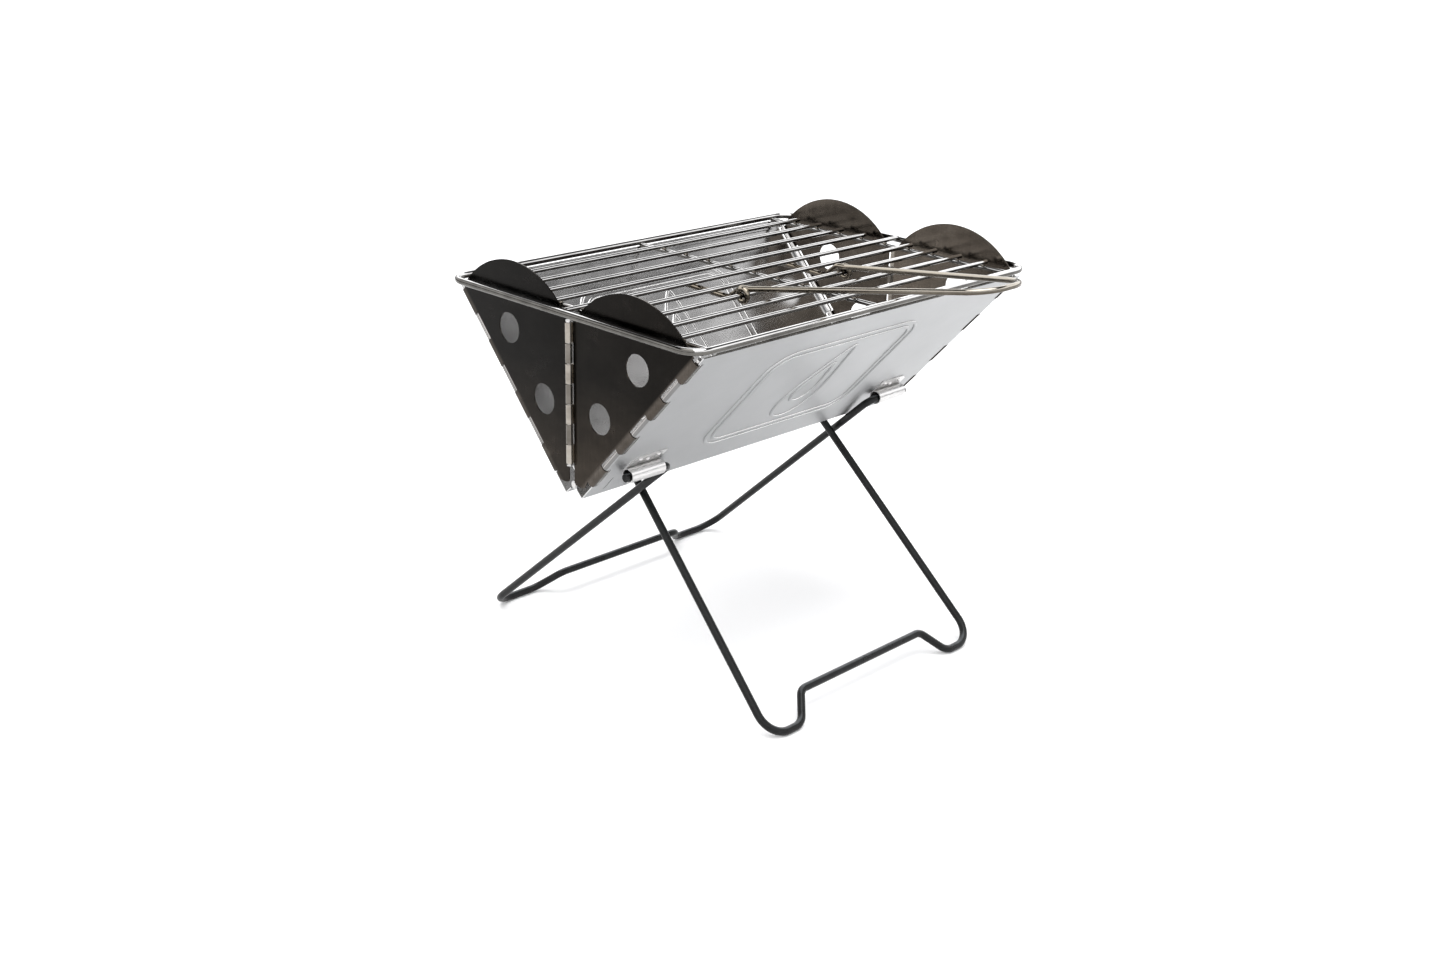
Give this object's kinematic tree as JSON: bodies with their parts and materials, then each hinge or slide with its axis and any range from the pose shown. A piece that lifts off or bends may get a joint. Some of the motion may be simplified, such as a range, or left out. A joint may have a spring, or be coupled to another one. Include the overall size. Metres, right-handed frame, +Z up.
{
  "type": "folding camp grill",
  "caption": "Folding camp grill: V-shaped sheet-steel firebox with folding ends on crossed wire legs, with a lift-off wire grate and handle.",
  "frame": {"origin": "on the ground, under the bottom hinge, halfway along the firebox", "axes": "+X across the firebox towards the handle, +Y along the bottom hinge, +Z up"},
  "size_m": [0.3768, 0.3432, 0.3115],
  "materials": {
    "satin_steel": "satin brushed",
    "dark_steel": "dark, near mirror",
    "bracket_steel": "rolled, satin",
    "black_wire": "satin black",
    "bright_wire": "polished",
    "handle_wire": "polished, faint heat tint",
    "hinge_pin_steel": "drawn wire"
  },
  "bodies": {
    "hinge_pin": {"bottom_hinge_pin": "hinge_pin_steel"},
    "near_side": {"side_panel_near": "satin_steel", "corner_hinge_pin_left_near": "hinge_pin_steel", "corner_hinge_pin_right_near": "hinge_pin_steel", "leg_bracket_left_near": "bracket_steel", "leg_bracket_right_near": "bracket_steel", "bracket_rivets_left_near": "bracket_steel", "bracket_rivets_right_near": "bracket_steel"},
    "far_side": {"side_panel_far": "satin_steel", "corner_hinge_pin_left_far": "hinge_pin_steel", "corner_hinge_pin_right_far": "hinge_pin_steel", "leg_bracket_left_far": "bracket_steel", "leg_bracket_right_far": "bracket_steel", "bracket_rivets_left_far": "bracket_steel", "bracket_rivets_right_far": "bracket_steel"},
    "left_end_pin": {"middle_hinge_pin_left": "hinge_pin_steel"},
    "right_end_pin": {"middle_hinge_pin_right": "hinge_pin_steel"},
    "left_near_leaf": {"end_leaf_left_near": "dark_steel"},
    "left_far_leaf": {"end_leaf_left_far": "dark_steel"},
    "right_near_leaf": {"end_leaf_right_near": "dark_steel"},
    "right_far_leaf": {"end_leaf_right_far": "dark_steel"},
    "outer_legs": {"leg_frame_outer": "black_wire"},
    "inner_legs": {"leg_frame_inner": "black_wire"},
    "grate": {"grate_frame": "bright_wire", "grate_rod_1": "bright_wire", "grate_rod_2": "bright_wire", "grate_rod_3": "bright_wire", "grate_rod_4": "bright_wire", "grate_rod_5": "bright_wire", "grate_rod_6": "bright_wire", "grate_rod_7": "bright_wire", "grate_rod_8": "bright_wire", "grate_rod_9": "bright_wire", "grate_crossbar_left": "bright_wire", "grate_crossbar_middle": "bright_wire", "grate_crossbar_right": "bright_wire"},
    "handle": {"lifting_handle": "handle_wire"}
  },
  "joints": [
    {"name": "body_fold", "type": "hinge", "parent": "hinge_pin", "child": "near_side", "pos_m": [0, 0, 0.1562], "axis": [0, -1, 0], "range_deg": [0, 42.4]},
    {"name": "far_side_fold", "type": "hinge", "parent": "hinge_pin", "child": "far_side", "pos_m": [0, 0, 0.1562], "axis": [0, 1, 0], "range_deg": [0, 42.5]},
    {"name": "left_end_tuck", "type": "hinge", "parent": "hinge_pin", "child": "left_end_pin", "pos_m": [0, -0.1642, 0.1562], "axis": [-1, 0, 0], "range_deg": [0, 39.1]},
    {"name": "left_near_leaf_fold", "type": "hinge", "parent": "left_end_pin", "child": "left_near_leaf", "pos_m": [0, -0.1642, 0.22], "axis": [0, 0, -1], "range_deg": [0, 90.2]},
    {"name": "left_far_leaf_fold", "type": "hinge", "parent": "left_end_pin", "child": "left_far_leaf", "pos_m": [0, -0.1642, 0.22], "axis": [0, 0, 1], "range_deg": [0, 90.2]},
    {"name": "right_end_tuck", "type": "hinge", "parent": "hinge_pin", "child": "right_end_pin", "pos_m": [0, 0.1642, 0.1562], "axis": [1, 0, 0], "range_deg": [0, 39.1]},
    {"name": "right_near_leaf_fold", "type": "hinge", "parent": "right_end_pin", "child": "right_near_leaf", "pos_m": [0, 0.1642, 0.22], "axis": [0, 0, 1], "range_deg": [0, 90.2]},
    {"name": "right_far_leaf_fold", "type": "hinge", "parent": "right_end_pin", "child": "right_far_leaf", "pos_m": [0, 0.1642, 0.22], "axis": [0, 0, -1], "range_deg": [0, 90.2]},
    {"name": "grate_lift", "type": "slide", "parent": "hinge_pin", "child": "grate", "axis": [0, 0, 1], "range_m": [0, 0.351]},
    {"name": "handle_swing", "type": "hinge", "parent": "grate", "child": "handle", "pos_m": [0.0466, 0, 0.2776], "axis": [0, -1, 0], "range_deg": [0, 100]},
    {"name": "leg_swing", "type": "hinge", "parent": "near_side", "child": "outer_legs", "pos_m": [0.03326, 0, 0.16645], "axis": [0, -1, 0], "range_deg": [0, 170]},
    {"name": "inner_leg_swing", "type": "hinge", "parent": "far_side", "child": "inner_legs", "pos_m": [-0.03326, 0, 0.16645], "axis": [0, 1, 0], "range_deg": [0, 170.1]}
  ],
  "couplings": [
    {"joint": "far_side_fold", "follows": "body_fold", "ratio": 1},
    {"joint": "left_end_tuck", "follows": "body_fold", "ratio": 0.91981},
    {"joint": "left_near_leaf_fold", "follows": "body_fold", "ratio": 2.1226},
    {"joint": "left_far_leaf_fold", "follows": "body_fold", "ratio": 2.1226},
    {"joint": "right_end_tuck", "follows": "body_fold", "ratio": 0.91981},
    {"joint": "right_near_leaf_fold", "follows": "body_fold", "ratio": 2.1226},
    {"joint": "right_far_leaf_fold", "follows": "body_fold", "ratio": 2.1226},
    {"joint": "grate_lift", "follows": "body_fold", "m_per_rad": 0.47296},
    {"joint": "inner_leg_swing", "follows": "leg_swing", "ratio": 1}
  ]
}
